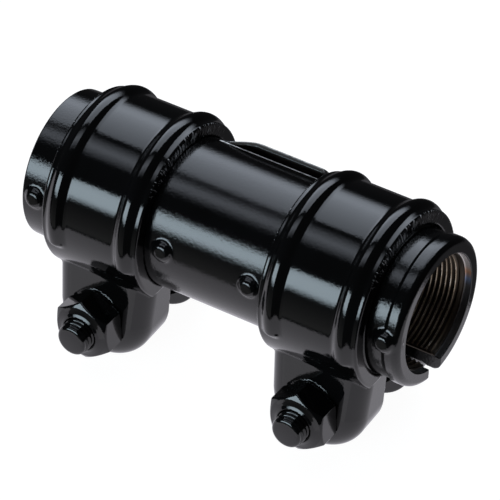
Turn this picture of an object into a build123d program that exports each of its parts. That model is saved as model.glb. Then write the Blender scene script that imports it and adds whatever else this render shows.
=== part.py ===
"""Threaded adjusting sleeve with two pinch clamps, as separate named solids (mm).

Frame: +X along the sleeve, +Y to the back, +Z up. The origin is on the sleeve's axis at half its
length. The clamp ears hang down and the nuts sit on the front (-Y) side.
"""
from build123d import *
from math import acos, atan2, cos, hypot, radians, sin
import os

# ---- sleeve -------------------------------------------------------------------------------------
SLEEVE_LENGTH = 123.7
END_X = SLEEVE_LENGTH / 2
BARREL_R = 22.25
PLAIN_END_R = 22.0          # the -X end tapers down to this
END_ROUND = 0.8
NECK_R = 21.4               # just outside the +X clamp
NECK_X = 50.6
RIM_R = 21.95               # raised rim at the +X end
RIM_X = 57.6
RIM_RAMP = 0.3              # length of the slope from the neck up to the rim
RIM_LAND_X = 59.9
RIM_FACE_R = 20.3
RIM_SHOULDER_R = 21.5
RIM_SHOULDER_X = 61.1
PLAIN_TAPER_X = -52.6       # where the plain end's taper begins
THREAD_MINOR_R = 16.2       # plain walls at the crests of an M34 x 1.5 internal thread
COUNTERBORE_R = 17.5
COUNTERBORE_DEPTH = 2.0
THREAD_LENGTH = 40.0
RELIEF_R = 17.0             # unthreaded middle of the bore
THREAD_END_X = END_X - COUNTERBORE_DEPTH - THREAD_LENGTH
SLOT_WIDTH = 5.9            # pinch slot in each end
SLOT_LENGTH = 34.0
SLOT_ANGLE = -93.0

# ---- spanner window: a slit in the barrel with its far side raised ---------------------------------
WINDOW_EDGE_ANGLE = 59.6    # near edge of the slit, from +Y towards +Z
WINDOW_BACK_ANGLE = 34.0    # back of the opening under the raised lip
LIP_EDGE_ANGLE = 59.2
LIP_ROOT_ANGLE = 12.0       # where the raised lip starts to leave the barrel
LIP_R = 25.5                # outside of the lip at its free edge
LIP_SHEET = 1.2
LIP_SINK = 0.3              # the lip's ends start this far inside the barrel's surface
LIP_DEPTH = 2.5             # how far into the wall its solid reaches, to join the barrel
WINDOW_ROOT_SINK = 0.2      # roof of the opening at its back, below the barrel's surface
WINDOW_SINK = 1.2           # roof of the opening at its ends, below the barrel's surface
WINDOW_INSET = 1.4          # the opening's ends stay this far inside the lip's
WINDOW_IN_R = 13.2          # the opening is cut down to here, well inside the bore
RAMP_OVER = 0.2             # the ramps' flat top clears the lip by this
WINDOW_X0, WINDOW_X1 = -18.5, 18.7
RAMP_LEFT, RAMP_RIGHT = 14.5, 3.2   # length over which each end of the lip rises

# ---- dimples that keep the clamps in place -----------------------------------------------------------
DIMPLE_XS = (-57.3, -14.1, 14.1, 57.3)
DIMPLE_ANGLE = 172.5
DIMPLE_R = 3.3
DIMPLE_TOP_R = 1.8
DIMPLE_HEIGHT = 1.8
DIMPLE_SINK = 1.0
DIMPLE_ROUND = 0.8

# ---- clamps ------------------------------------------------------------------------------------------
CLAMP_X = {"left": -36.25, "right": 35.35}
CLAMP_HALF = 16.05
FIT = 0.06                  # radial running fit of a clamp on the sleeve
CLAMP_IN_R = BARREL_R + FIT
CLAMP_OUT_R = 26.35
BAND_CHAMFER = 0.4          # along both edges of the band
BEAD_X = 11.4               # middle of each bead from the clamp's middle
BEAD_MINOR_R = 2.7
BEAD_RING_R = 25.15
GROOVE_MINOR_R = 1.9
GROOVE_RING_R = 21.9
BEAD_END_ANGLE = 191.5      # where the beads run out above the ears
BAND_END_Z = -19.2          # the band stops here, inside the ears
EAR_FACE_Y = 22.8           # seat of the nut and of the bolt head
EAR_GAP_Y = 7.0             # half the gap between the two ears
EAR_TOP = 14.2              # top of an ear above the bolt's axis
EAR_BOTTOM_R = 14.4         # round bottom of an ear at the gap
EAR_TOP_HALF = 15.5         # half its width at the top, at the gap
EAR_CORNER_R = 4.3
EAR_DRAFT = 2.4             # degrees: an ear widens from the gap to its outer face
EAR_ROUND = 6.5
EAR_SHEET = 3.8
HOLE_R = 5.3

# ---- bolts and nuts (M10) ------------------------------------------------------------------------------
BOLT_Z = -30.4
BOLT_R = 4.95
BOLT_LENGTH = 58.6
BOLT_CHAMFER = 0.6
HEAD_HEIGHT = 6.4
NUT_HEIGHT = 8.8
NUT_BORE_R = 5.0
NUT_COUNTERSINK = 0.5
HEX_ACROSS = 17.0
HEX_CHAMFER_RISE = 0.75
NUT_TURN = {"left": 34.3, "right": 32.6}    # rotation of each hexagon about the bolt
HEAD_TURN = {"left": 10.0, "right": 25.0}


def ring_point(x, radius, degrees):
    """A point at this radius and angle round the sleeve's axis."""
    return Vector(x, radius * cos(radians(degrees)), radius * sin(radians(degrees)))


def turned(points, about=Axis.X):
    """A solid of revolution from (x, radius) points."""
    return revolve(make_face(Polyline(*[(x, r) for x, r in points], close=True)), about)


def sleeve_body():
    outside = [
        (-END_X, 0), (-END_X, PLAIN_END_R - END_ROUND),
        (-END_X + 0.3 * END_ROUND, PLAIN_END_R - 0.3 * END_ROUND),
        (-END_X + END_ROUND, PLAIN_END_R), (PLAIN_TAPER_X, BARREL_R), (NECK_X, BARREL_R),
        (NECK_X, NECK_R), (RIM_X, NECK_R), (RIM_X + RIM_RAMP, RIM_R), (RIM_LAND_X, RIM_R),
        (RIM_SHOULDER_X, RIM_SHOULDER_R), (END_X, RIM_FACE_R), (END_X, 0),
    ]
    return turned(outside)


def bore():
    half = [(END_X + 1, COUNTERBORE_R), (END_X - COUNTERBORE_DEPTH, COUNTERBORE_R),
            (END_X - COUNTERBORE_DEPTH, THREAD_MINOR_R), (THREAD_END_X, THREAD_MINOR_R),
            (THREAD_END_X, RELIEF_R)]
    mirrored = [(-x, r) for x, r in reversed(half)]
    return turned([(END_X + 1, 0)] + half + mirrored + [(-END_X - 1, 0)])


def end_slots():
    """The pinch slot in each end: open at the face, round at its inner end."""
    reach = BARREL_R + 2
    straight = SLOT_LENGTH - SLOT_WIDTH / 2
    cuts = []
    for sign in (-1, 1):
        inner_x = sign * (END_X - straight)
        middle = Pos(sign * (END_X + 1) / 2 + inner_x / 2, 0, -reach / 2)
        slab = middle * Box(abs(sign * (END_X + 1) - inner_x), SLOT_WIDTH, reach)
        end = Pos(inner_x, 0, -reach / 2) * Cylinder(SLOT_WIDTH / 2, reach)
        cuts.append(Rot(SLOT_ANGLE + 90, 0, 0) * (slab + end))
    return cuts


def lip_region(outer_end_r, outer_root_r, inner_r, root_angle, edge_angle):
    """A long prism along X whose outside spirals outwards towards the slit."""
    mid_angle = (root_angle + edge_angle) / 2
    mid_r = (outer_end_r + outer_root_r) / 2
    root_in, edge_in = (ring_point(WINDOW_X0, inner_r, a) for a in (root_angle, edge_angle))
    root_out = ring_point(WINDOW_X0, outer_root_r, root_angle)
    mid_out = ring_point(WINDOW_X0, mid_r, mid_angle)
    edge_out = ring_point(WINDOW_X0, outer_end_r, edge_angle)
    sides = [Line(root_in, root_out), ThreePointArc(root_out, mid_out, edge_out),
             Line(edge_out, edge_in), Line(edge_in, root_in)]
    return extrude(make_face(Wire(sides)), WINDOW_X1 - WINDOW_X0, dir=(1, 0, 0))


def ramp_envelope(base_r, top_r, inset):
    """Everything under a flat-topped ridge that ramps up at both ends of the window."""
    x0, x1 = WINDOW_X0 + inset, WINDOW_X1 - inset / 2
    left_mid = (x0 + 0.5 * RAMP_LEFT, (base_r + top_r) / 2)
    right_mid = (x1 - 0.5 * RAMP_RIGHT, (base_r + top_r) / 2)
    left = Spline((x0, base_r), left_mid, (x0 + RAMP_LEFT, top_r), tangents=[(1, 0), (1, 0)])
    right = Spline((x1 - RAMP_RIGHT, top_r), right_mid, (x1, base_r), tangents=[(1, 0), (1, 0)])
    top = Line((x0 + RAMP_LEFT, top_r), (x1 - RAMP_RIGHT, top_r))
    under = Polyline((x1, base_r), (x1, 0), (x0, 0), (x0, base_r))
    return revolve(make_face(Wire([left, top, right, *under.edges()])), Axis.X)


def raised_lip():
    bump = lip_region(LIP_R, BARREL_R - LIP_SINK, BARREL_R - LIP_DEPTH,
                      LIP_ROOT_ANGLE, LIP_EDGE_ANGLE)
    return bump & ramp_envelope(BARREL_R - LIP_SINK, LIP_R + RAMP_OVER, 0)


def window_opening():
    roof_r = LIP_R - LIP_SHEET
    hollow = lip_region(roof_r, BARREL_R - WINDOW_ROOT_SINK, WINDOW_IN_R,
                        WINDOW_BACK_ANGLE, WINDOW_EDGE_ANGLE)
    return hollow & ramp_envelope(BARREL_R - WINDOW_SINK, roof_r + RAMP_OVER, WINDOW_INSET)


def dimple(x):
    dome = Cone(DIMPLE_R, DIMPLE_TOP_R, DIMPLE_HEIGHT + DIMPLE_SINK)
    dome = fillet(dome.edges().group_by(Axis.Z)[-1], DIMPLE_ROUND)
    surface_r = NECK_R if x > NECK_X else BARREL_R
    lift = surface_r - DIMPLE_SINK + (DIMPLE_HEIGHT + DIMPLE_SINK) / 2
    return Rot(DIMPLE_ANGLE - 90, 0, 0) * Pos(x, 0, lift) * dome


def sleeve():
    body = sleeve_body() + raised_lip()
    for x in DIMPLE_XS:
        body += dimple(x)
    body -= bore()
    body -= window_opening()
    for cut in end_slots():
        body -= cut
    return body


def ear_block(inset):
    """One ear as a rounded block on the +Y side; a larger inset gives the hollow inside it."""
    radius = EAR_BOTTOM_R - inset
    top = EAR_TOP - inset
    half = EAR_TOP_HALF - inset
    tangent = atan2(top, half) - acos(radius / hypot(half, top))
    side_x, side_z = radius * cos(tangent), radius * sin(tangent)
    outline = Wire([
        Line((-half, top), (half, top)), Line((half, top), (side_x, side_z)),
        ThreePointArc((side_x, side_z), (0, -radius), (-side_x, side_z)),
        Line((-side_x, side_z), (-half, top)),
    ])
    face = make_face(outline)
    corners = [v for v in face.vertices() if abs(v.Y - top) < 0.01]
    face = fillet(corners, EAR_CORNER_R - inset / 2)
    gap_plane = Plane(origin=(0, EAR_GAP_Y, BOLT_Z), x_dir=(-1, 0, 0), z_dir=(0, 1, 0))
    block = extrude(gap_plane * face, EAR_FACE_Y - inset - EAR_GAP_Y, taper=-EAR_DRAFT)
    outer = block.faces().sort_by(Axis.Y)[-1].edges()
    return fillet(outer, EAR_ROUND - inset)


def bead_ring(x, minor_r, ring_r, end_angle):
    """An arc of round bead about the X axis with ball ends, open at the bottom."""
    sweep_angle = 2 * end_angle - 180
    section = Plane.XZ * Pos(x, ring_r) * Circle(minor_r)
    lead = 180 - end_angle - 90
    arc = Rot(lead, 0, 0) * revolve(section, Axis.X, sweep_angle)
    ends = [Pos(ring_point(x, ring_r, a)) * Sphere(minor_r) for a in (180 - end_angle, end_angle)]
    return arc + ends


def clamp(x):
    body = turned([(-CLAMP_HALF, 0), (-CLAMP_HALF, CLAMP_OUT_R - BAND_CHAMFER),
                   (-CLAMP_HALF + BAND_CHAMFER, CLAMP_OUT_R), (CLAMP_HALF - BAND_CHAMFER, CLAMP_OUT_R),
                   (CLAMP_HALF, CLAMP_OUT_R - BAND_CHAMFER), (CLAMP_HALF, 0)])
    for bead_x in (-BEAD_X, BEAD_X):
        body += bead_ring(bead_x, BEAD_MINOR_R, BEAD_RING_R, BEAD_END_ANGLE)
    below = 2 * CLAMP_OUT_R
    body -= Pos(0, 0, BAND_END_Z - below / 2) * Box(3 * CLAMP_HALF, 3 * CLAMP_OUT_R, below)
    ear = ear_block(0)
    cavity = ear_block(EAR_SHEET)
    body += ear
    body += mirror(ear, Plane.XZ)
    body -= cavity
    body -= mirror(cavity, Plane.XZ)
    body -= Pos(0, 0, -below / 2) * Box(3 * CLAMP_HALF, 2 * EAR_GAP_Y, below)
    body -= Rot(0, 90, 0) * Cylinder(CLAMP_IN_R, 3 * CLAMP_HALF)
    for bead_x in (-BEAD_X, BEAD_X):
        body -= bead_ring(bead_x, GROOVE_MINOR_R, GROOVE_RING_R, BEAD_END_ANGLE)
    body -= Pos(0, 0, BOLT_Z) * Rot(90, 0, 0) * Cylinder(HOLE_R, 3 * EAR_FACE_Y)
    return Pos(x, 0, 0) * body


def hex_prism(height, chamfer_both):
    """Hexagon along +Z from 0 to height with the usual 30-degree corner chamfers."""
    corner_r = HEX_ACROSS / 2 / cos(radians(30))
    flat_r = HEX_ACROSS / 2
    prism = extrude(RegularPolygon(corner_r, 6), height)
    lower = [(flat_r, 0), (corner_r, HEX_CHAMFER_RISE)] if chamfer_both else [(corner_r, 0)]
    outline = [(0, 0)] + lower + [(corner_r, height - HEX_CHAMFER_RISE), (flat_r, height), (0, height)]
    face = Plane.XZ * make_face(Polyline(*outline, close=True))
    return prism & revolve(face, Axis.Z)


def bolt(x, side):
    """Head on the rear ear, plain chamfered end at the front."""
    shank = [(0, 0), (BOLT_R, 0), (BOLT_R, BOLT_LENGTH - BOLT_CHAMFER),
             (BOLT_R - BOLT_CHAMFER, BOLT_LENGTH), (0, BOLT_LENGTH)]
    rod = revolve(Plane.XZ * make_face(Polyline(*shank, close=True)), Axis.Z)
    head = Rot(180, 0, HEAD_TURN[side]) * hex_prism(HEAD_HEIGHT, False)
    return Pos(x, EAR_FACE_Y, BOLT_Z) * Rot(90, 0, 0) * (rod + head)


def nut(x, side):
    body = Rot(0, 0, NUT_TURN[side]) * hex_prism(NUT_HEIGHT, True)
    hole = [(0, 0), (NUT_BORE_R + NUT_COUNTERSINK, 0), (NUT_BORE_R, NUT_COUNTERSINK),
            (NUT_BORE_R, NUT_HEIGHT - NUT_COUNTERSINK),
            (NUT_BORE_R + NUT_COUNTERSINK, NUT_HEIGHT), (0, NUT_HEIGHT)]
    body -= revolve(Plane.XZ * make_face(Polyline(*hole, close=True)), Axis.Z)
    return Pos(x, -EAR_FACE_Y, BOLT_Z) * Rot(90, 0, 0) * body


def write(name, shape):
    solids = shape.solids()
    assert len(solids) == 1, f"{name} is {len(solids)} solids"
    solid = solids[0]
    solid.label = name
    export_step(solid, f"parts/{name}.step")
    box = solid.bounding_box()
    print(name, round(solid.volume, 1), [round(v, 2) for v in (*box.min, *box.max)])


os.makedirs("parts", exist_ok=True)
write("sleeve", sleeve())
for side, clamp_x in CLAMP_X.items():
    write(f"clamp_{side}", clamp(clamp_x))
    write(f"bolt_{side}", bolt(clamp_x, side))
    write(f"nut_{side}", nut(clamp_x, side))
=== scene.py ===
"""Blender model of a threaded adjusting sleeve with two pinch clamps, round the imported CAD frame.

Shapes are worked out in millimetres from distance fields and thread profiles and turned into
meshes here. Blender's units are metres, in the CAD's frame: +X along the sleeve, +Z up.
"""
import math

import bmesh
import bpy
import numpy as np
from mathutils import Matrix, Vector

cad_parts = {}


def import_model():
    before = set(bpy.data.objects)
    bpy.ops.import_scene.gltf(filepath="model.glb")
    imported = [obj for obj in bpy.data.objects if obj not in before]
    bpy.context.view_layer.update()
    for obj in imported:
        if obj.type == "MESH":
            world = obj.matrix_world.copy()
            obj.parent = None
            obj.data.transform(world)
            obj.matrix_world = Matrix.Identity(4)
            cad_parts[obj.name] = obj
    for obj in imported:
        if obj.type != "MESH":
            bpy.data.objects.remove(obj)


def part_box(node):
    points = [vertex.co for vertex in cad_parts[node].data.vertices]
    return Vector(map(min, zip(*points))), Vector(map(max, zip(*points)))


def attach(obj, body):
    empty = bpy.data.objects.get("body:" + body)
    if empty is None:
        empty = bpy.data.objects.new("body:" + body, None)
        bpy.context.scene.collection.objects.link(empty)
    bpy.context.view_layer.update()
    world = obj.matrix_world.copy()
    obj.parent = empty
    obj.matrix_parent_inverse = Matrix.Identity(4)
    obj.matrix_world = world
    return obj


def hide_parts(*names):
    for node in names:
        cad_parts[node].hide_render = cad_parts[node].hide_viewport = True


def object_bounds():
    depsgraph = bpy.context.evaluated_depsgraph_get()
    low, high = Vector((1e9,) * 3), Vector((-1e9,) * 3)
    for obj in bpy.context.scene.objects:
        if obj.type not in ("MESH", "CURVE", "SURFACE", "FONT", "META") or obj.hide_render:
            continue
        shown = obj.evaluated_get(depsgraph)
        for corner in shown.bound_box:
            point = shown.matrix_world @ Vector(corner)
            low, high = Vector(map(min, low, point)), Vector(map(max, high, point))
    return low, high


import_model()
cad_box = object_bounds()
MM = 0.001


def box_mm(cad_node):
    """Lowest and highest corner of a CAD node's box, in mm."""
    low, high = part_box(cad_node)
    return np.array(low) / MM, np.array(high) / MM


def centre(cad_node):
    """Middle of a CAD node's box, in mm."""
    low, high = box_mm(cad_node)
    return (low + high) / 2


# ---- sizes in mm, as in the CAD ------------------------------------------------------------------
END_X = float(box_mm("sleeve")[1][0])
BARREL_R = 22.25
# x and radius along the outside of the barrel: a tapered plain end, then a neck and a rim
OUTSIDE = [(-61.85, 22.0), (-52.6, 22.25), (50.5, 22.25), (50.9, 21.4), (56.6, 21.4),
           (57.5, 21.95), (59.9, 21.95), (61.1, 21.5), (61.85, 20.5)]
THREAD_CREST_R = 16.2
THREAD_ROOT_R = 17.0
THREAD_END_X = 19.85
THREAD_FACE_X = 59.85       # where the thread starts behind the counterbore
BORE_R = THREAD_ROOT_R + 0.05   # the sleeve's own wall, behind the thread rings
COUNTERBORE_R, COUNTERBORE_DEPTH = 17.6, 2.0
MOUTH_CHAMFER = 0.12
LINER_R = 17.6              # outside of the thread rings, inside the sleeve's wall
SLOT_HALF = 2.95
SLOT_LENGTH = 34.0
SLOT_ANGLE = -93.0
DIMPLES = (-57.3, -14.1, 14.1, 57.3)
DIMPLE_ANGLE = 172.5

# the window, a slit whose back side is a raised lip; angles in degrees from +Y towards +Z
LIP_ROOT = 12.0
WINDOW_BACK = 34.0
LIP_EDGE = 58.7
WINDOW_EDGE = 59.6          # the slit's near edge
LIP_R = 25.55
LIP_SHEET = 1.2
LIP_BEND = 1.2              # power by which the lip leaves the barrel
LIP_TILT = 0.22             # the lip's cut edge leans back by this per mm of radius
WINDOW_X0, WINDOW_X1 = -18.5, 18.7
RAMP_LEFT, RAMP_RIGHT = 14.5, 3.2
BURR = 0.22                 # height of the burr along the slit's near edge
BURR_SLOPE = 0.6
DIMPLE_R, DIMPLE_HEIGHT, DIMPLE_TAPER, DIMPLE_ROUND = 3.2, 1.75, 0.45, 1.1

CLAMP_HALF = 16.05
CLAMP_IN_R = 22.31
CLAMP_OUT_R = 26.35
BEAD_X, BEAD_R, BEAD_RING = 11.4, 2.7, 25.15
GROOVE_R, GROOVE_RING = 1.9, 21.9
BEAD_END = 191.5
BAND_END_Z = -19.2          # the band stops here, inside the ears
EAR_FACE_Y, EAR_GAP_Y, EAR_SHEET = 22.8, 7.0, 3.8
EAR_TOP, EAR_BOTTOM_R, EAR_TOP_HALF, EAR_ROUND = 14.2, 14.4, 15.5, 6.5
EAR_LEAN = 0.135            # the upper half of an ear leans in, apart from the nut's seat
SEAT_R, SEAT_DEPTH = 7.7, 3.0
EAR_DRAFT = math.tan(math.radians(2.4))
HOLE_R = 5.3

PITCH = 1.5
BOLT_R = 4.95
BOLT_THREAD, BOLT_THREAD_DEPTH = 34.0, 0.42     # length of the bolts' thread, and its depth
# rounded end of a bolt: distance from its tip, and radius there
TIP_ALONG = (0, 0.04, 0.12, 0.28, 0.55, 0.9, 1.4)
TIP_R = (3.5, 3.75, 4.0, 4.3, 4.58, 4.75, 4.95)
HEX_ACROSS = 17.0
NUT_HEIGHT = 8.8
NUT_BORE_R = 5.05
COLLAR_R, COLLAR_IN_R, COLLAR_HEIGHT = 6.7, 5.5, 0.65   # conical rim on the nut's front
HEAD_HEIGHT = 6.4
HEAD_CHAMFER = math.radians(30)
NUT_TURN = {"left": 34.3, "right": 32.6}
HEAD_TURN = {"left": 10.0, "right": 25.0}


# ---- field helpers: a field is negative inside the solid, in mm ----------------------------------
def join(a, b, k):
    """Union of two fields with a fillet of about k."""
    h = np.clip(0.5 + 0.5 * (b - a) / k, 0, 1)
    return b + (a - b) * h - k * h * (1 - h)


def meet(a, b, k):
    """Intersection of two fields with a rounded edge of about k."""
    return -join(-a, -b, k)


def cut(a, b, k):
    """Field a with field b taken away, its edges rounded by about k."""
    return meet(a, -b, k)


def round_meet(a, b, radius):
    """Intersection of two fields with a true fillet of this radius."""
    u = np.maximum(radius + a, 0)
    v = np.maximum(radius + b, 0)
    return np.minimum(-radius, np.maximum(a, b)) + np.hypot(u, v)


def ease(t):
    """Smooth step from 0 at t = 0 to 1 at t = 1."""
    t = np.clip(t, 0, 1)
    return t * t * (3 - 2 * t)


# ---- meshing a field -----------------------------------------------------------------------------
def gradient(field, points):
    """Field value and gradient at points, by central differences."""
    step = 0.02
    slopes = []
    for axis in range(3):
        move = np.zeros(3)
        move[axis] = step
        ahead = field(*(points + move).T)
        behind = field(*(points - move).T)
        slopes.append((ahead - behind) / (2 * step))
    return field(*points.T), np.stack(slopes, 1)


def settle(field, points, rounds):
    """Moves points onto the field's zero level."""
    for _ in range(rounds):
        value, slope = gradient(field, points)
        size = np.maximum((slope ** 2).sum(1), 0.05)
        move = slope * (value / size)[:, None]
        length = np.linalg.norm(move, axis=1, keepdims=True)
        points = points - move * np.minimum(1, 0.5 / np.maximum(length, 1e-9))
    return points


def neighbour_mean(points, quads):
    """Mean place of the vertices along the edges from each vertex."""
    total = np.zeros_like(points)
    count = np.zeros(len(points))
    for a, b in ((0, 1), (1, 2), (2, 3), (3, 0)):
        for i, j in ((quads[:, a], quads[:, b]), (quads[:, b], quads[:, a])):
            for axis in range(3):
                total[:, axis] += np.bincount(i, points[j, axis], len(points))
            count += np.bincount(i, minlength=len(points))
    return total / np.maximum(count, 1)[:, None]


def skin(field, axes, place):
    """Quads on the field's zero level, one vertex in each grid cell that it crosses.

    axes are three rising arrays and place turns their coordinates into x, y, z. The grid's
    outermost layer is outside the solid, or goes on round to the other side."""
    grid = np.meshgrid(*axes, indexing="ij")
    value = field(*place(*grid))
    shape = value.shape
    total = np.zeros((3,) + shape)
    count = np.zeros(shape)
    crossings = []
    for axis in range(3):
        ahead = np.roll(value, -1, axis)
        crossed = (value < 0) != (ahead < 0)
        crossings.append(crossed)
        along = np.where(crossed, value / np.where(crossed, value - ahead, 1), 0)
        u, v = [a for a in range(3) if a != axis]
        for du in (0, 1):
            for dv in (0, 1):
                shift = [0, 0, 0]
                shift[u], shift[v] = -du, -dv
                here = np.roll(crossed, shift, (0, 1, 2))
                total[axis] += np.roll(along, shift, (0, 1, 2))
                total[u] += here * du
                total[v] += here * dv
                count += here
    active = count > 0
    number = np.full(shape, -1)
    number[active] = np.arange(active.sum())
    cells = np.argwhere(active)
    inside = (total[:, active] / count[active]).T + cells
    coords = []
    for i, axis in enumerate(axes):
        longer = np.append(axis, 2 * axis[-1] - axis[-2])
        coords.append(np.interp(inside[:, i], np.arange(len(longer)), longer))
    points = np.stack(place(*coords), 1)
    quads = []
    for axis in range(3):
        u, v = [(1, 2), (2, 0), (0, 1)][axis]
        corners = []
        for du, dv in ((0, 0), (1, 0), (1, 1), (0, 1)):
            shift = [0, 0, 0]
            shift[u], shift[v] = du, dv
            corners.append(np.roll(number, shift, (0, 1, 2))[crossings[axis]])
        loop = np.stack(corners, 1)
        leaving = (value < 0)[crossings[axis]]
        loop[~leaving] = loop[~leaving][:, ::-1]
        quads.append(loop)
    return points, np.concatenate(quads)


def cartesian(x, y, z):
    """Grid coordinates that are x, y and z already."""
    return x, y, z


def cylindrical(x, angle, radius):
    """x, y, z from a place along the X axis, an angle from +Y to +Z, and a radius."""
    return x, radius * np.cos(angle), radius * np.sin(angle)


def turn_to_y(points, sign):
    """Turns shapes built along +Z to lie along Y: sign -1 points them to the front."""
    x, y, z = points.T
    return np.stack((x, sign * z, -sign * y), 1)


def field_mesh(name, field, axes, place=cartesian, rounds=3, toward=0, offset=(0, 0, 0)):
    """A smooth-shaded mesh of a field's zero level, with the field's own slopes as normals.

    rounds is how often it is smoothed; toward -1 or 1 then turns +Z to the front or back."""
    points, quads = skin(field, axes, place)
    points = settle(field, points, 2)
    for _ in range(rounds):
        points = settle(field, 0.5 * points + 0.5 * neighbour_mean(points, quads), 1)
    points = settle(field, points, 2)
    _, normals = gradient(field, points)
    normals /= np.maximum(np.linalg.norm(normals, axis=1, keepdims=True), 1e-9)
    if volume_sign(points, quads) < 0:
        quads = quads[:, ::-1]
    if toward:
        points, normals = turn_to_y(points, toward), turn_to_y(normals, toward)
    mesh = bpy.data.meshes.new(name)
    mesh.from_pydata(((points + np.array(offset)) * MM).tolist(), [], quads.tolist())
    mesh.validate()
    mesh.shade_smooth()
    mesh.normals_split_custom_set_from_vertices(normals.tolist())
    return linked(name, mesh)


def linked(name, data):
    """A new object with this data, in the scene."""
    thing = bpy.data.objects.new(name, data)
    bpy.context.scene.collection.objects.link(thing)
    return thing


def volume_sign(points, quads):
    """Positive when the quads face outwards."""
    a, b, c, d = (points[quads[:, i]] for i in range(4))
    return float((np.cross(c - a, d - b) * (a + b + c + d)).sum())


def graded(low, high, coarse, patches):
    """Values from low to high, coarse apart, but closer in patches of (low, high, step)."""
    values = [low]
    while values[-1] < high:
        step = min([coarse] + [fine for a, b, fine in patches if a <= values[-1] <= b])
        values.append(values[-1] + step)
    return np.array(values)


def span(low, high, step):
    """Evenly spaced values from low to at least high."""
    count = int(math.ceil((high - low) / step)) + 1
    return low + step * np.arange(count)


# ---- threads, and meshes from grids of points ----------------------------------------------------
def add_grid(bm, points):
    """Quads between rings of points in mm."""
    rows, columns = points.shape[:2]
    verts = [[bm.verts.new(points[i, j] * MM) for j in range(columns)] for i in range(rows)]
    for i in range(rows - 1):
        for j in range(columns - 1):
            bm.faces.new((verts[i][j], verts[i][j + 1], verts[i + 1][j + 1], verts[i + 1][j]))


def weld(bm):
    """Joins vertices that meet and drops faces with no area."""
    bmesh.ops.remove_doubles(bm, verts=bm.verts, dist=2e-6)
    bmesh.ops.dissolve_degenerate(bm, edges=bm.edges, dist=1e-7)
    bmesh.ops.recalc_face_normals(bm, faces=bm.faces)


def bm_object(name, bm):
    """A smooth-shaded object from a bmesh, which it uses up."""
    mesh = bpy.data.meshes.new(name)
    bm.to_mesh(mesh)
    bm.free()
    mesh.shade_smooth()
    return linked(name, mesh)


def subtract(thing, cutter):
    """Cuts cutter's shape out of thing and removes the cutter."""
    modifier = thing.modifiers.new("cut", "BOOLEAN")
    modifier.operation = "DIFFERENCE"
    modifier.solver = "EXACT"
    modifier.object = cutter
    evaluated = thing.evaluated_get(bpy.context.evaluated_depsgraph_get())
    mesh = bpy.data.meshes.new_from_object(evaluated)
    thing.modifiers.clear()
    thing.data = mesh
    bpy.data.objects.remove(cutter)


def thread_wave(phase, root=0.14, flank=0.66):
    """Thread height from 0 at the root to 1 at the crest, for a phase in turns.

    root and flank are the shares of half a turn that are at the root and on the flank."""
    t = (np.abs(np.mod(phase, 1.0) - 0.5) * 2 - root) / flank
    return ease(t) * 0.35 + np.clip(t, 0, 1) * 0.65


def helix_grid(length, per_turn, columns):
    """A grid whose rows follow the thread, from 0 to length along its axis.

    Gives each row's phase in turns, and each point's place along the axis and angle."""
    last = int(round(length / PITCH * per_turn))
    phase = np.arange(-per_turn, last + per_turn + 1) / per_turn
    angle = np.arange(columns + 1) * 2 * math.pi / columns
    along = (phase[:, None] + angle[None, :] / (2 * math.pi)) * PITCH
    return phase, np.clip(along, 0, length), np.broadcast_to(angle, along.shape)


# ---- sleeve --------------------------------------------------------------------------------------
def outside_radius(x):
    """The barrel's outside, its corners softened over 0.6 mm."""
    xs, rs = zip(*OUTSIDE)
    return sum(np.interp(x + shift, xs, rs) for shift in (-0.3, -0.1, 0.1, 0.3)) / 4


def lip_rise(x):
    """How far the raised lip has come up at this x, from 0 to 1."""
    left = ease((x - WINDOW_X0) / RAMP_LEFT)
    right = ease((WINDOW_X1 - x) / RAMP_RIGHT)
    return np.minimum(left, right)


def beyond(angle, start, r):
    """Distance round the axis past the angle start."""
    return (angle - start) * np.radians(1) * r


def lip_field(x, angle, r):
    """A skin that spirals away from the barrel up to the slit."""
    turn = (angle - LIP_ROOT) / (LIP_EDGE - LIP_ROOT)
    bend = np.clip(turn, 0, 1) ** LIP_BEND
    lip_r = outside_radius(x) + (LIP_R - BARREL_R) * bend * lip_rise(x)
    edge = beyond(angle, LIP_EDGE, r) + LIP_TILT * (r - LIP_R)
    edge = np.maximum(edge, beyond(angle, WINDOW_EDGE - 0.15, r))
    inner = np.maximum(-beyond(angle, LIP_ROOT, r), BARREL_R - 3 - r)
    lip = meet(meet(r - lip_r, edge, 0.35), inner, 0.3)
    return np.maximum(lip, np.maximum(WINDOW_X0 - x, x - WINDOW_X1))


def window_roof(x, angle):
    """Radius up to which the window is open under the lip."""
    across = np.clip((angle - WINDOW_BACK) / (WINDOW_EDGE - WINDOW_BACK), 0, 1)
    under = BARREL_R - 0.2 + (LIP_R - LIP_SHEET - BARREL_R + 0.2) * across
    height = BARREL_R - 0.7 + (LIP_R - LIP_SHEET - BARREL_R + 0.8) * lip_rise(x - 0.7)
    return np.minimum(under, height)


def window_field(x, angle, r):
    """The opening, cut through into the bore. Its left end slopes down into the wall."""
    hollow = np.maximum(r - window_roof(x, angle), beyond(angle, WINDOW_EDGE, r))
    hollow = np.maximum(hollow, -beyond(angle, WINDOW_BACK, r))
    hollow = np.maximum(hollow, x - (WINDOW_X1 - 0.7))
    slope = x + 15.5 + 2.5 * np.maximum(r - BARREL_R, -2)
    return np.maximum(hollow, -0.37 * slope)


def burr_field(x, angle, r):
    """A thin ridge along the slit's near edge."""
    past = beyond(angle, WINDOW_EDGE, r)
    burr = (r - BARREL_R - BURR + BURR_SLOPE * past) * 0.86
    burr = np.maximum(np.maximum(burr, -past), np.maximum(BARREL_R - 1 - r, past - 1))
    return np.maximum(burr, np.maximum(WINDOW_X0 + 1.5 - x, x - WINDOW_X1 + 1.2))


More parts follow.
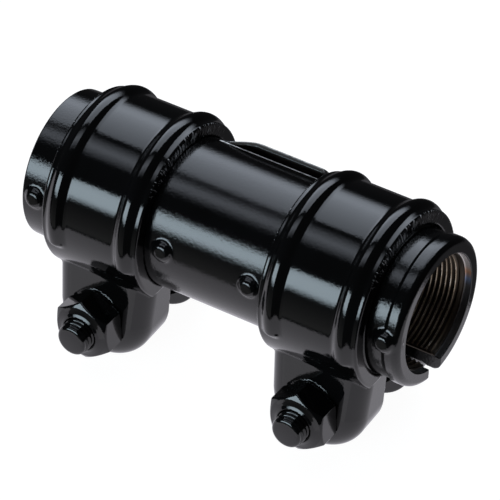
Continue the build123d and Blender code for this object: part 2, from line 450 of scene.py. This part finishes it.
def dimple_field(x, y, z, dimple_x):
    """A round boss on the barrel's front, rooted 2 mm down in the wall."""
    a = math.radians(DIMPLE_ANGLE)
    out = y * math.cos(a) + z * math.sin(a) - outside_radius(np.array(dimple_x))
    side = np.hypot(x - dimple_x, z * math.cos(a) - y * math.sin(a))
    dome = round_meet(side + DIMPLE_TAPER * out - DIMPLE_R, out - DIMPLE_HEIGHT, DIMPLE_ROUND)
    return np.maximum(dome, -2 - out)


def bore_radius(x):
    """The bore, with a soft step to each counterbore and a chamfer at each mouth."""
    mouth = END_X - np.abs(x)
    stepped = np.where(mouth < COUNTERBORE_DEPTH, COUNTERBORE_R, BORE_R)
    stepped = stepped + np.clip(MOUTH_CHAMFER - mouth, 0, 0.5)
    eased = BORE_R + 0.45 * ease((2.3 - mouth) / 0.5) + np.clip(MOUTH_CHAMFER - mouth, 0, 0.6)
    return (stepped + eased) / 2


def slot_field(x, y, z):
    """The pinch slot in each end, round at its inner end."""
    a = math.radians(SLOT_ANGLE)
    down = y * math.cos(a) + z * math.sin(a)
    side = z * math.cos(a) - y * math.sin(a)
    inner = SLOT_LENGTH - SLOT_HALF
    reach = END_X - np.abs(x)
    slot = np.where(reach < inner, np.abs(side), np.hypot(side, reach - inner)) - SLOT_HALF
    return np.maximum(slot, -down)


def sleeve_field(x, y, z):
    """The whole sleeve, without its thread."""
    r = np.hypot(y, z)
    angle = np.degrees(np.arctan2(z, y))
    body = meet(r - outside_radius(x), np.abs(x) - END_X, 0.5)
    body = join(body, lip_field(x, angle, r), 0.15)
    for dimple_x in DIMPLES:
        body = join(body, dimple_field(x, y, z, dimple_x), 0.9)
    body = cut(body, r - bore_radius(x), 0.12)
    body = cut(body, window_field(x, angle, r), 0.25)
    body = np.minimum(body, burr_field(x, angle, r))
    return cut(body, slot_field(x, y, z), 0.35)


def slot_cutter(sign):
    """A prism a little narrower than the pinch slot, as deep as the thread, at one end."""
    half = SLOT_HALF - 0.03
    inner = sign * (END_X - SLOT_LENGTH + SLOT_HALF)
    outer = sign * (END_X + 5)
    outline = [(outer, -half), (outer, half)]
    sides = 24
    for i in range(sides + 1):
        a = math.pi / 2 + math.pi * i / sides
        outline.append((inner + sign * half * math.cos(a), half * math.sin(a)))
    tilt = Matrix.Rotation(math.radians(SLOT_ANGLE + 90), 3, "X")
    depths = (-12, -20)     # inside and outside the thread's ring
    bm = bmesh.new()
    rings = [[bm.verts.new(tilt @ Vector((x, y, z)) * MM) for x, y in outline] for z in depths]
    for i in range(len(outline)):
        j = (i + 1) % len(outline)
        bm.faces.new((rings[0][i], rings[0][j], rings[1][j], rings[1][i]))
    for ring in rings:
        bm.faces.new(ring)
    bmesh.ops.recalc_face_normals(bm, faces=bm.faces)
    return bm_object("cutter", bm)


def thread_liner(name, sign):
    """The internal thread of one end as a thin closed ring, cut through at the pinch slot.

    sign is -1 at the left end, a mirror image of the right end, and so left-handed."""
    length = THREAD_FACE_X + 0.02 - THREAD_END_X
    per_turn, columns = 8, 120
    phase, along, angle = helix_grid(length, per_turn, columns)
    radius = THREAD_ROOT_R - (THREAD_ROOT_R - THREAD_CREST_R) * thread_wave(phase)[:, None]
    to_end = np.minimum(along, length - along)
    radius = np.maximum(radius, THREAD_ROOT_R + 0.02 - 0.36 * to_end)
    x = sign * (THREAD_END_X + along)
    inner = np.stack((x, radius * np.cos(angle), radius * np.sin(angle)), 2)
    ends = sign * np.array([THREAD_END_X, THREAD_END_X + length])
    outer = np.stack([np.broadcast_to(end, angle[0].shape) for end in ends], 0)
    outer = np.stack((outer, LINER_R * np.cos(angle[:2]), LINER_R * np.sin(angle[:2])), 2)
    bm = bmesh.new()
    add_grid(bm, inner)
    add_grid(bm, outer)
    add_grid(bm, np.stack((inner[0], outer[0])))
    add_grid(bm, np.stack((inner[-1], outer[1])))
    weld(bm)
    liner = bm_object(name, bm)
    subtract(liner, slot_cutter(sign))
    return liner


def sleeve():
    """The sleeve, on a grid that is finer at its window, dimples, slots, neck and ends."""
    around = graded(-180, 180, 2.0, [(-106, -81, 1.0), (8, 56, 1.15), (56, 58, 0.4),
                                     (58, 61.5, 0.2), (61, 63, 0.4), (162, 180, 1.1)])
    around = np.radians(-180 + (around[:-1] + 180) * 360 / (around[-1] + 180))
    ends = 1.2 + END_X
    x = graded(-ends, ends, 1.0, [(-64, -59, 0.4), (58, 64, 0.35), (-31, -25, 0.7), (25, 31, 0.7),
                                  (-19, -8, 0.5), (15, 20, 0.4), (11, 17.5, 0.5), (50, 51.6, 0.4),
                                  (56, 58, 0.4)])
    radius = graded(15.6, 27.0, 0.6, [(15.6, 17.6, 0.4), (21.3, 21.8, 0.3), (21.8, 26.0, 0.2)])
    return field_mesh("sleeve_body", sleeve_field, (x, around, radius), cylindrical)


# ---- clamps --------------------------------------------------------------------------------------
def arc_distance(x, y, z, ring_r, end_angle):
    """Distance to an arc about the X axis that is open at the bottom."""
    angle = np.degrees(np.arctan2(z, np.abs(y)))
    limit = math.radians(180 - end_angle)
    on_arc = np.hypot(x, np.hypot(y, z) - ring_r)
    end_y, end_z = ring_r * math.cos(limit), ring_r * math.sin(limit)
    to_end = np.sqrt(x ** 2 + (np.abs(y) - end_y) ** 2 + (z - end_z) ** 2)
    return np.where(angle >= math.degrees(limit), on_arc, to_end)


def ear_field(x, y, z, bolt_z):
    """Both ears as solid rounded blocks, without the gap between them."""
    x, y, z = np.abs(x), np.abs(y), z - bolt_z
    tangent = (math.atan2(EAR_TOP, EAR_TOP_HALF)
               - math.acos(EAR_BOTTOM_R / math.hypot(EAR_TOP_HALF, EAR_TOP)))
    flat_side = x * math.cos(tangent) + z * math.sin(tangent) - EAR_BOTTOM_R
    side = np.where(np.arctan2(z, x) >= tangent, flat_side, np.hypot(x, z) - EAR_BOTTOM_R)
    outline = side - EAR_DRAFT * (y - EAR_GAP_Y)
    lean = EAR_LEAN * np.maximum(z, 0)
    block = round_meet(outline, y - EAR_FACE_Y + lean, EAR_ROUND)
    upright = round_meet(outline, y - EAR_FACE_Y, EAR_ROUND)
    seat = meet(upright, 0.7 * (np.hypot(x, z) - SEAT_R + y - EAR_FACE_Y), 0.3)
    both = np.minimum(block, np.maximum(seat, EAR_FACE_Y - SEAT_DEPTH - y))
    return np.maximum(both, z - EAR_TOP)


def clamp_field(bolt_z):
    """A clamp with its middle at x = 0: a beaded band, and two hollow ears with bolt holes."""
    def field(x, y, z):
        r = np.hypot(y, z)
        band = round_meet(r - CLAMP_OUT_R, np.abs(x) - CLAMP_HALF, 0.8)
        bead = arc_distance(np.abs(x) - BEAD_X, y, z, BEAD_RING, BEAD_END) - BEAD_R
        body = np.maximum(join(band, bead, 1.3), BAND_END_Z - z)
        ears = ear_field(x, y, z, bolt_z)
        body = join(body, ears, 0.5)
        body = cut(body, ears + EAR_SHEET, 0.6)
        gap = np.maximum(np.abs(y) - EAR_GAP_Y, z)
        body = cut(body, gap, 0.6)
        body = cut(body, r - CLAMP_IN_R, 0.35)
        groove = arc_distance(np.abs(x) - BEAD_X, y, z, GROOVE_RING, BEAD_END) - GROOVE_R
        body = cut(body, groove, 0.5)
        hole = np.hypot(x, z - bolt_z) - HOLE_R
        return cut(body, hole, 0.4)
    return field


def clamps():
    """Both clamps, one shape in two places."""
    low, high = box_mm("clamp_left")
    step = 0.5
    axes = (span(-CLAMP_HALF - 1.3, CLAMP_HALF + 1.3, step), span(-29.3, 29.3, step),
            span(low[2] - 1.2, high[2] + 1.2, step))
    left = field_mesh("clamp_left_band", clamp_field(bolt_axis("left")[1]), axes)
    bands = {"left": left, "right": linked("clamp_right_band", left.data.copy())}
    for side, band in bands.items():
        band.data.transform(Matrix.Translation((centre(f"clamp_{side}")[0] * MM, 0, 0)))
    return bands


# ---- bolts and nuts ------------------------------------------------------------------------------
def bolt_axis(side):
    """x and z of a bolt's axis, from its nut."""
    x, _, z = centre(f"nut_{side}")
    return x, z


def hexagon(x, y, turn):
    """Distance outside a hexagon about the axis, turned by this many degrees."""
    angle = np.arctan2(y, x) - math.radians(turn)
    sixth = math.pi / 3
    local = np.mod(angle, sixth) - sixth / 2
    return np.hypot(x, y) * np.cos(local) - HEX_ACROSS / 2


def nut_field(turn):
    """A hexagon with a gently sloping front face and a low conical collar round the bore.

    z runs out along the bolt from the seat."""
    flat_r = HEX_ACROSS / 2

    def field(x, y, z):
        r = np.hypot(x, y)
        face = (NUT_HEIGHT - COLLAR_HEIGHT - 0.28 * np.maximum(r - COLLAR_R, 0)
                - 0.4 * np.maximum(r - flat_r + 0.35, 0))
        cone = np.maximum(r - COLLAR_IN_R, 0) / (COLLAR_R - COLLAR_IN_R)
        collar = NUT_HEIGHT - COLLAR_HEIGHT * cone
        prism = meet(hexagon(x, y, turn), (z - face) * 0.9, 0.3)
        back = (0.35 * (r - flat_r - 0.3) - z) * 0.94
        prism = meet(prism, np.maximum(back, -z), 0.2)
        rim = meet(r - COLLAR_R - 0.6, (z - collar) * 0.88, 0.25)
        body = join(prism, np.maximum(rim, NUT_HEIGHT - 3 - z), 0.2)
        mouth = np.minimum(z, NUT_HEIGHT - z)
        bore = r - (NUT_BORE_R + 0.4 * np.clip(1 - mouth / 0.5, 0, 2))
        return cut(body, bore, 0.15)
    return field


def head_field(turn):
    """A bolt's head with chamfered corners, on a thin washer face. z runs out from the seat."""
    def field(x, y, z):
        r = np.hypot(x, y)
        prism = meet(hexagon(x, y, turn), z - HEAD_HEIGHT, 0.15)
        cone = z - HEAD_HEIGHT + (r - HEX_ACROSS / 2 + 0.1) * math.tan(HEAD_CHAMFER)
        body = meet(prism, cone * math.cos(HEAD_CHAMFER), 0.2)
        body = np.maximum(body, 0.45 - z)
        washer = np.maximum(r - 8.2, z - 0.5)
        return np.maximum(np.minimum(body, washer), -z)
    return field


def nut(side):
    """A nut, its back on the clamp's front ear."""
    x, z = bolt_axis(side)
    _, high = box_mm(f"nut_{side}")
    step = 0.3
    axes = (span(-11, 11, step), span(-11, 11, step), span(-1, NUT_HEIGHT + 1, step))
    return field_mesh(f"nut_{side}_hex", nut_field(NUT_TURN[side]), axes, rounds=2, toward=-1,
                      offset=(x, high[1], z))


def head_seat(side):
    """y of the face of a bolt's head that bears on the ear."""
    _, high = box_mm(f"bolt_{side}")
    return high[1] - HEAD_HEIGHT


def head(side):
    """A bolt's head, on the clamp's back ear."""
    x, z = bolt_axis(side)
    step = 0.35
    axes = (span(-11, 11, step), span(-11, 11, step), span(-1, HEAD_HEIGHT + 1, step))
    return field_mesh(f"bolt_{side}_head", head_field(HEAD_TURN[side]), axes, rounds=2, toward=1,
                      offset=(x, head_seat(side), z))


def rod(side):
    """The bolt's shank: thread over its front half, plain behind, a rounded end."""
    x, z = bolt_axis(side)
    low, _ = box_mm(f"bolt_{side}")
    seat = head_seat(side)
    length = seat - low[1]
    per_turn, columns = 16, 72
    phase, along, angle = helix_grid(length, per_turn, columns)
    threaded = ease((along - (length - BOLT_THREAD)) / 2.5)
    wave = thread_wave(phase, 0.4, 0.42)[:, None]
    radius = BOLT_R - BOLT_THREAD_DEPTH * (1 - wave) * threaded
    radius = np.minimum(radius, np.interp(length - along, TIP_ALONG, TIP_R))
    points = np.stack((radius * np.cos(angle), radius * np.sin(angle), along), 2)
    return grid_tube(f"bolt_{side}_rod", points, x, seat, z)


def grid_tube(name, points, x, y, z):
    """A closed rod from rings of points along +Z, turned to the front and moved into place."""
    turned = turn_to_y(points.reshape(-1, 3), -1) + np.array((x, y, z))
    bm = bmesh.new()
    add_grid(bm, turned.reshape(points.shape))
    weld(bm)
    bmesh.ops.holes_fill(bm, edges=[e for e in bm.edges if e.is_boundary], sides=0)
    bmesh.ops.recalc_face_normals(bm, faces=bm.faces)
    return bm_object(name, bm)


# ---- materials -----------------------------------------------------------------------------------
PAINT_WAVE = 0.000008       # height in metres of the paint's long waves
TEAR_DEPTH = 0.0006         # metres, on the clamps' sheared sides
TEAR_LOW, TEAR_HIGH = 0.016, 0.023      # z in metres over which the tears come in


def new_material(name):
    """A material with its node tree and its shader."""
    material = bpy.data.materials.new(name)
    material.use_nodes = True
    tree = material.node_tree
    return material, tree, tree.nodes["Principled BSDF"]


def node(tree, kind, **values):
    """A new node; values name its properties or its inputs."""
    made = tree.nodes.new(kind)
    for key, value in values.items():
        if hasattr(made, key):
            setattr(made, key, value)
        else:
            made.inputs[key].default_value = value
    return made


def maths(tree, operation, *values):
    """Output of a Math node on numbers and other nodes' outputs."""
    made = node(tree, "ShaderNodeMath", operation=operation)
    for socket, value in zip(made.inputs, values):
        if isinstance(value, bpy.types.NodeSocket):
            tree.links.new(value, socket)
        else:
            socket.default_value = value
    return made.outputs[0]


def object_place(tree):
    """A point's place on the object, as a node output in metres."""
    return node(tree, "ShaderNodeTexCoord").outputs["Object"]


def split_place(tree):
    """x, y and z of a point on the object, as node outputs in metres."""
    split = node(tree, "ShaderNodeSeparateXYZ")
    tree.links.new(object_place(tree), split.inputs[0])
    return split.outputs


def from_axis(tree):
    """Distance of a point from the X axis, as a node output in metres."""
    flat = node(tree, "ShaderNodeVectorMath", operation="MULTIPLY")
    flat.inputs[1].default_value = (0, 1, 1)
    tree.links.new(object_place(tree), flat.inputs[0])
    length = node(tree, "ShaderNodeVectorMath", operation="LENGTH")
    tree.links.new(flat.outputs[0], length.inputs[0])
    return length.outputs["Value"]


def noise(tree, scale, detail=2.0, rough=0.5, place=None):
    """Noise from 0 to 1 over the object, or over another place."""
    made = node(tree, "ShaderNodeTexNoise", Scale=scale, Detail=detail, Roughness=rough)
    tree.links.new(place or object_place(tree), made.inputs["Vector"])
    return made.outputs["Fac"]


def rescaled(tree, source, low, high):
    """source from low..high mapped to 0..1."""
    made = node(tree, "ShaderNodeMapRange")
    made.inputs["From Min"].default_value = low
    made.inputs["From Max"].default_value = high
    tree.links.new(source, made.inputs["Value"])
    return made.outputs[0]


def ramp(tree, source, stops):
    """Colour from source by (place, colour) stops."""
    made = node(tree, "ShaderNodeValToRGB")
    bar = made.color_ramp
    while len(bar.elements) < len(stops):
        bar.elements.new(0.5)
    for element, (place, colour) in zip(bar.elements, stops):
        element.position = place
        element.color = (*colour, 1)
    tree.links.new(source, made.inputs["Fac"])
    return made.outputs["Color"]


def grey(value):
    return (value, value, value)


def surface(tree, shader, source, colours, roughs):
    """Base colour and roughness from one pattern, by two sets of stops."""
    tree.links.new(ramp(tree, source, colours), shader.inputs["Base Color"])
    tree.links.new(ramp(tree, source, roughs), shader.inputs["Roughness"])


def bump(tree, height, distance, under=None, strength=1.0):
    """Normal with a bump of this height on top of another normal, if one is given."""
    made = node(tree, "ShaderNodeBump")
    made.inputs["Distance"].default_value = distance
    tree.links.new(height, made.inputs["Height"])
    if under is not None:
        tree.links.new(under, made.inputs["Normal"])
    if isinstance(strength, bpy.types.NodeSocket):
        tree.links.new(strength, made.inputs["Strength"])
    else:
        made.inputs["Strength"].default_value = strength
    return made.outputs["Normal"]


def black_paint(name, grain, slope):
    """Gloss black paint: orange peel of this grain and slope over longer waves, uneven gloss."""
    material, tree, shader = new_material(name)
    shader.inputs["IOR"].default_value = 1.5
    tint = ramp(tree, noise(tree, 60, 3), [(0.3, grey(0.0018)), (0.7, (0.0028, 0.0028, 0.003))])
    tree.links.new(tint, shader.inputs["Base Color"])
    gloss = ramp(tree, noise(tree, 220, 4), [(0.3, grey(0.05)), (0.75, grey(0.085))])
    tree.links.new(gloss, shader.inputs["Roughness"])
    waves = bump(tree, noise(tree, 260, 2), PAINT_WAVE)
    peel = bump(tree, noise(tree, 1 / grain, 3, 0.65), slope * grain, waves)
    tree.links.new(peel, shader.inputs["Normal"])
    return material


def clamp_side_mask(tree, x):
    """1 on the sheared side faces of both clamps, 0 elsewhere, from the point's x."""
    left, right = centre("clamp_left")[0], centre("clamp_right")[0]
    folded = maths(tree, "ABSOLUTE", maths(tree, "SUBTRACT", x, (left + right) / 2 * MM))
    out = maths(tree, "ABSOLUTE", maths(tree, "SUBTRACT", folded, (right - left) / 2 * MM))
    return rescaled(tree, out, (CLAMP_HALF - 0.5) * MM, (CLAMP_HALF - 0.2) * MM)


def sheared_edges(material):
    """Tears in the clamps' side faces: along the radius, deepest at the top, bare where proud."""
    tree = material.node_tree
    shader = tree.nodes["Principled BSDF"]
    x, y, z = split_place(tree)
    place = node(tree, "ShaderNodeCombineXYZ")
    arc = maths(tree, "MULTIPLY", maths(tree, "ARCTAN2", z, y), CLAMP_OUT_R * MM)
    tree.links.new(arc, place.inputs[0])
    tree.links.new(maths(tree, "MULTIPLY", from_axis(tree), 0.3), place.inputs[1])
    tears = noise(tree, 1300, 2, 0.5, place.outputs[0])
    top = rescaled(tree, z, TEAR_LOW, TEAR_HIGH)
    torn = maths(tree, "MULTIPLY", clamp_side_mask(tree, x), top)
    smooth = shader.inputs["Normal"].links[0].from_socket
    tree.links.new(bump(tree, tears, TEAR_DEPTH, smooth, torn), shader.inputs["Normal"])

    paint = shader.inputs["Base Color"].links[0].from_socket
    bare = ramp(tree, tears, [(0.5, grey(0.3)), (0.66, grey(0.8))])
    flecks = maths(tree, "MULTIPLY", rescaled(tree, tears, 0.56, 0.66), torn)
    mixed = node(tree, "ShaderNodeMix", data_type="RGBA")
    for source, socket in ((flecks, 0), (paint, 6), (bare, 7)):
        tree.links.new(source, mixed.inputs[socket])
    tree.links.new(mixed.outputs[2], shader.inputs["Base Color"])


def worn_steel(name):
    """Bright metal where the paint has gone from a sheared edge."""
    material, tree, shader = new_material(name)
    shader.inputs["Metallic"].default_value = 1.0
    film = noise(tree, 900, 4, 0.6)
    surface(tree, shader, film, [(0.35, grey(0.1)), (0.62, (0.36, 0.35, 0.34))],
            [(0.3, grey(0.5)), (0.7, grey(0.3))])
    tree.links.new(bump(tree, film, 0.00002), shader.inputs["Normal"])
    return material


def unpainted_steel(name):
    """Dull brown metal inside the window, where the paint has not reached."""
    material, tree, shader = new_material(name)
    surface(tree, shader, noise(tree, 500, 3),
            [(0.3, (0.022, 0.016, 0.013)), (0.7, (0.045, 0.034, 0.027))],
            [(0.3, grey(0.6)), (0.7, grey(0.8))])
    return material


def bare_steel(name):
    """Cut thread, brownish and oily, with painted shade darkening the roots and flanks and painted
    highlights on the crests.
    """
    material, tree, shader = new_material(name)
    shader.inputs["Metallic"].default_value = 1.0
    # painted shade and highlight: the colour darkens towards the thread's roots and is near white
    # at its crests
    painted_root_shade = rescaled(tree, from_axis(tree), THREAD_CREST_R * MM, THREAD_ROOT_R * MM)
    film = maths(tree, "MULTIPLY_ADD", noise(tree, 420, 4, 0.65), 0.5, painted_root_shade)
    surface(tree, shader, film, [(0.2, (0.85, 0.82, 0.76)), (0.32, (0.42, 0.34, 0.24)),
                                 (0.55, (0.14, 0.11, 0.08)), (1.0, (0.06, 0.05, 0.04))],
            [(0.2, grey(0.22)), (0.6, grey(0.42))])
    tree.links.new(bump(tree, noise(tree, 2500, 2), 0.00001), shader.inputs["Normal"])
    return material


def counterbore_painted_light(name):
    """The smooth counterbore, coloured by height: painted shade low down, a painted pale reflection
    high up, and blue and straw bands partway up.
    """
    material, tree, shader = new_material(name)
    shader.inputs["Metallic"].default_value = 0.35
    height = rescaled(tree, split_place(tree)["Z"], -COUNTERBORE_R * MM, COUNTERBORE_R * MM)
    # painted light: the counterbore is dark at its bottom and pale at its top, as shade and
    # reflection fall in the bore
    tint = ramp(tree, height, [(0.3, grey(0.06)), (0.44, grey(0.16)), (0.5, (0.3, 0.4, 0.6)),
                               (0.57, (0.8, 0.45, 0.25)), (0.64, (0.85, 0.8, 0.76)),
                               (1, grey(0.8))])
    tree.links.new(tint, shader.inputs["Base Color"])
    rough = ramp(tree, noise(tree, 600, 3), [(0.3, grey(0.3)), (0.7, grey(0.42))])
    tree.links.new(rough, shader.inputs["Roughness"])
    return material


def give(thing, *materials):
    """Replaces the object's materials."""
    thing.data.materials.clear()
    for material in materials:
        thing.data.materials.append(material)


# ---- pieces --------------------------------------------------------------------------------------
PAINT, THREAD, COUNTERBORE, WORN, WINDOW = range(5)     # the sleeve's materials, in order
WORN_DEPTH = 0.28           # mm of bare metal below the top of the lip's cut edge
LINE_DEPTH = 0.88           # mm below the top where its line of paint starts
MARGIN = 0.15               # mm that a finish reaches past the shape it follows


def lip_finish(below, r):
    """Material on the lip's cut edge, this far below its top: worn, bare, and a line of paint."""
    if below < WORN_DEPTH:
        return WORN
    return PAINT if LINE_DEPTH < below < LIP_SHEET + MARGIN and r > BARREL_R + 1 else WINDOW


def sleeve_finish(x, y, z):
    """Which of the sleeve's materials a point takes."""
    r, angle = math.hypot(y, z), math.degrees(math.atan2(z, y))
    if r < LINER_R + 0.1 and abs(x) < END_X - MARGIN:
        return COUNTERBORE if abs(x) > THREAD_FACE_X else THREAD
    lip_top = BARREL_R + (LIP_R - BARREL_R) * float(lip_rise(x))
    if LIP_EDGE - 1.2 < angle < WINDOW_EDGE and lip_top > BARREL_R + 0.8:
        return lip_finish(lip_top - r, r)
    in_window = WINDOW_X0 < x < WINDOW_X1 and WINDOW_BACK - 1 < angle < LIP_EDGE
    if in_window and r < float(window_roof(x, angle)) + MARGIN:
        return WINDOW
    on_burr = 0 < beyond(angle, WINDOW_EDGE, r) < BURR / BURR_SLOPE
    on_burr = on_burr and abs(r - BARREL_R - BURR / 2) < BURR
    return WORN if on_burr and WINDOW_X0 + 1.6 < x < WINDOW_X1 - 1.2 else PAINT


def add_piece(thing, cad_node, slot, *materials):
    """Puts a visible piece in a CAD node's place."""
    give(thing, *materials)
    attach(thing, cad_node)
    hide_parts(cad_node)


sleeve_paint = black_paint("sleeve_gloss_black", 0.0007, 0.065)
clamp_paint = black_paint("clamp_gloss_black", 0.0007, 0.025)
sheared_edges(clamp_paint)
bolt_paint = black_paint("bolt_gloss_black", 0.0006, 0.015)
nut_paint = black_paint("nut_gloss_black", 0.0006, 0.015)
thread_steel = bare_steel("cut_thread_steel")
mouth_steel = counterbore_painted_light("counterbore_steel")
edge_steel = worn_steel("worn_edge_steel")
inside_steel = unpainted_steel("window_steel")

body = sleeve()
add_piece(body, "sleeve", "sleeve_paint",
          sleeve_paint, thread_steel, mouth_steel, edge_steel, inside_steel)
for face in body.data.polygons:
    face.material_index = sleeve_finish(*(face.center / MM))
for side, sign in (("right", 1), ("left", -1)):
    add_piece(thread_liner(f"thread_{side}", sign), "sleeve", "bore_steel", thread_steel)
for side, band in clamps().items():
    add_piece(band, f"clamp_{side}", "clamp_paint", clamp_paint)
    add_piece(nut(side), f"nut_{side}", "nut_paint", nut_paint)
    for piece in (head(side), rod(side)):
        add_piece(piece, f"bolt_{side}", "bolt_paint", bolt_paint)


# ---- stage ---------------------------------------------------------------------------------------
CAMERA_AZIMUTH, CAMERA_ELEVATION, CAMERA_ROLL = 32.4, 38.7, 0.7     # degrees
CAMERA_BACK, CAMERA_RIGHT, CAMERA_UP = 1150, 0.379, -3.969          # mm from the origin
CAMERA_LENS = 296.8
PANEL_FAR = 1.5             # metres from the part to the middle of a panel
FLOOR_HALF = 3.0            # metres
CARD_X = (-0.4, 0.3)        # metres
CARD_LIFT = 0.0002          # metres above the floor


def camera():
    """A long lens from the front, above and to the right."""
    azimuth, elevation, roll = (math.radians(angle) for angle in
                                (CAMERA_AZIMUTH, CAMERA_ELEVATION, CAMERA_ROLL))
    flat = math.cos(elevation)
    back = Vector((math.sin(azimuth) * flat, -math.cos(azimuth) * flat, math.sin(elevation)))
    level = Vector((math.cos(azimuth), math.sin(azimuth), 0))
    upright = back.cross(level)
    right = math.cos(roll) * level + math.sin(roll) * upright
    up = -math.sin(roll) * level + math.cos(roll) * upright
    data = bpy.data.cameras.new("camera")
    data.sensor_width = 36
    data.lens = CAMERA_LENS
    data.clip_end = 50
    thing = linked("camera", data)
    place = (CAMERA_BACK * back + CAMERA_RIGHT * right + CAMERA_UP * up) * MM
    turn = Matrix((right, up, back)).transposed().to_4x4()
    thing.matrix_world = Matrix.Translation(place) @ turn
    bpy.context.scene.camera = thing


def plane(name, corners):
    """One quad, from its corners in metres."""
    mesh = bpy.data.meshes.new(name)
    mesh.from_pydata(corners, [], [(0, 1, 2, 3)])
    return linked(name, mesh)


def glow_material(name, tint, glow):
    """Light in this tint that changes with the first UV coordinate, by (place, radiance) stops."""
    material = bpy.data.materials.new(name)
    material.use_nodes = True
    tree = material.node_tree
    tree.nodes.clear()
    split = node(tree, "ShaderNodeSeparateXYZ")
    tree.links.new(node(tree, "ShaderNodeTexCoord").outputs["UV"], split.inputs[0])
    most = max(value for _, value in glow)
    stops = [(at, tuple(value / most * c for c in tint)) for at, value in glow]
    light = node(tree, "ShaderNodeEmission", Strength=most)
    tree.links.new(ramp(tree, split.outputs["X"], stops), light.inputs["Color"])
    output = node(tree, "ShaderNodeOutputMaterial")
    tree.links.new(light.outputs[0], output.inputs["Surface"])
    return material


def panel(name, low, high, x0, x1, tint, glow):
    """A glowing panel along X that spans these angles (degrees from +Y to +Z) from the part.

    glow lists (place, radiance) from its low edge at 0 to its high edge at 1."""
    middle, half = math.radians((low + high) / 2), math.radians((high - low) / 2)
    out = Vector((0, math.cos(middle), math.sin(middle)))
    across = Vector((0, -math.sin(middle), math.cos(middle))) * PANEL_FAR * math.tan(half)
    corners = [Vector((x, 0, 0)) + out * PANEL_FAR + across * side
               for x, side in ((x0, -1), (x1, -1), (x1, 1), (x0, 1))]
    thing = plane(name, corners)
    uv_map = thing.data.uv_layers.new(name="UVMap")
    for loop, u in zip(uv_map.data, (0, 0, 1, 1)):
        loop.uv = (u, 0)
    give(thing, glow_material(name, tint, glow))
    thing.visible_camera = False


def card(z, y0, y1, radiance):
    """A glowing card that faces down just above a floor at z, and is seen only by the part."""
    data = bpy.data.lights.new("card", "AREA")
    data.shape = "RECTANGLE"
    data.size, data.size_y = CARD_X[1] - CARD_X[0], y1 - y0
    data.energy = radiance * math.pi * data.size * data.size_y
    data.color = (0.98, 0.96, 1.04)
    thing = linked("card", data)
    thing.location = (sum(CARD_X) / 2, (y0 + y1) / 2, z + CARD_LIFT)
    thing.rotation_euler = (math.pi, 0, 0)
    thing.visible_camera = False


def floor(z):
    """A white floor at this height that the part's gloss doesn't reflect."""
    half = FLOOR_HALF
    thing = plane("floor", [(-half, -half, z), (half, -half, z), (half, half, z), (-half, half, z)])
    material, _, shader = new_material("floor_white")
    shader.inputs["Base Color"].default_value = (0.12, 0.12, 0.12, 1)
    shader.inputs["Roughness"].default_value = 0.9
    shader.inputs["Specular IOR Level"].default_value = 0.0
    shader.inputs["Emission Color"].default_value = (1, 1, 1, 1)
    shader.inputs["Emission Strength"].default_value = 0.97
    give(thing, material)
    thing.visible_glossy = False
    thing.visible_diffuse = False


def world():
    """Pale to the eye, nearly black to the paint: a white-floored studio with its lights off."""
    made = bpy.data.worlds.new("studio")
    made.use_nodes = True
    tree = made.node_tree
    tree.nodes.clear()
    path = node(tree, "ShaderNodeLightPath")
    dark = node(tree, "ShaderNodeBackground", Color=(0.015, 0.015, 0.016, 1))
    seen = node(tree, "ShaderNodeBackground", Color=(1, 1, 1, 1))
    mix = node(tree, "ShaderNodeMixShader")
    out = node(tree, "ShaderNodeOutputWorld")
    tree.links.new(path.outputs["Is Camera Ray"], mix.inputs[0])
    tree.links.new(dark.outputs[0], mix.inputs[1])
    tree.links.new(seen.outputs[0], mix.inputs[2])
    tree.links.new(mix.outputs[0], out.inputs[0])
    bpy.context.scene.world = made


camera()
panel("strip", 153, 179, -1.5, 0.05, (0.84, 1.02, 1.14),
      [(0, 5.6), (0.3, 6.6), (0.7, 6.4), (0.88, 3.4), (1, 0.3)])
panel("overhead", 24, 88, -1.6, 0.4, (0.89, 0.98, 1.12),
      [(0, 0.1), (0.065, 0.45), (0.2, 2.5), (0.32, 3.2), (0.44, 2.95), (0.66, 2.45), (0.92, 1.8),
       (0.985, 1.4), (1, 0.3)])
panel("streak", 94, 121, -1.5, 0.3, (0.9, 0.98, 1.12), [(0, 0.1), (0.5, 1.7), (1, 0.1)])
panel("haze", 178, 216, -1.5, 0.3, (1, 1, 1), [(0, 0.04), (1, 0.22)])
floor_z = float(cad_box[0][2])
floor(floor_z)
card(floor_z, -0.082, 0.056, 0.8)
card(floor_z, 0.056, 0.2, 0.07)
world()
bpy.context.scene.view_settings.view_transform = "Standard"
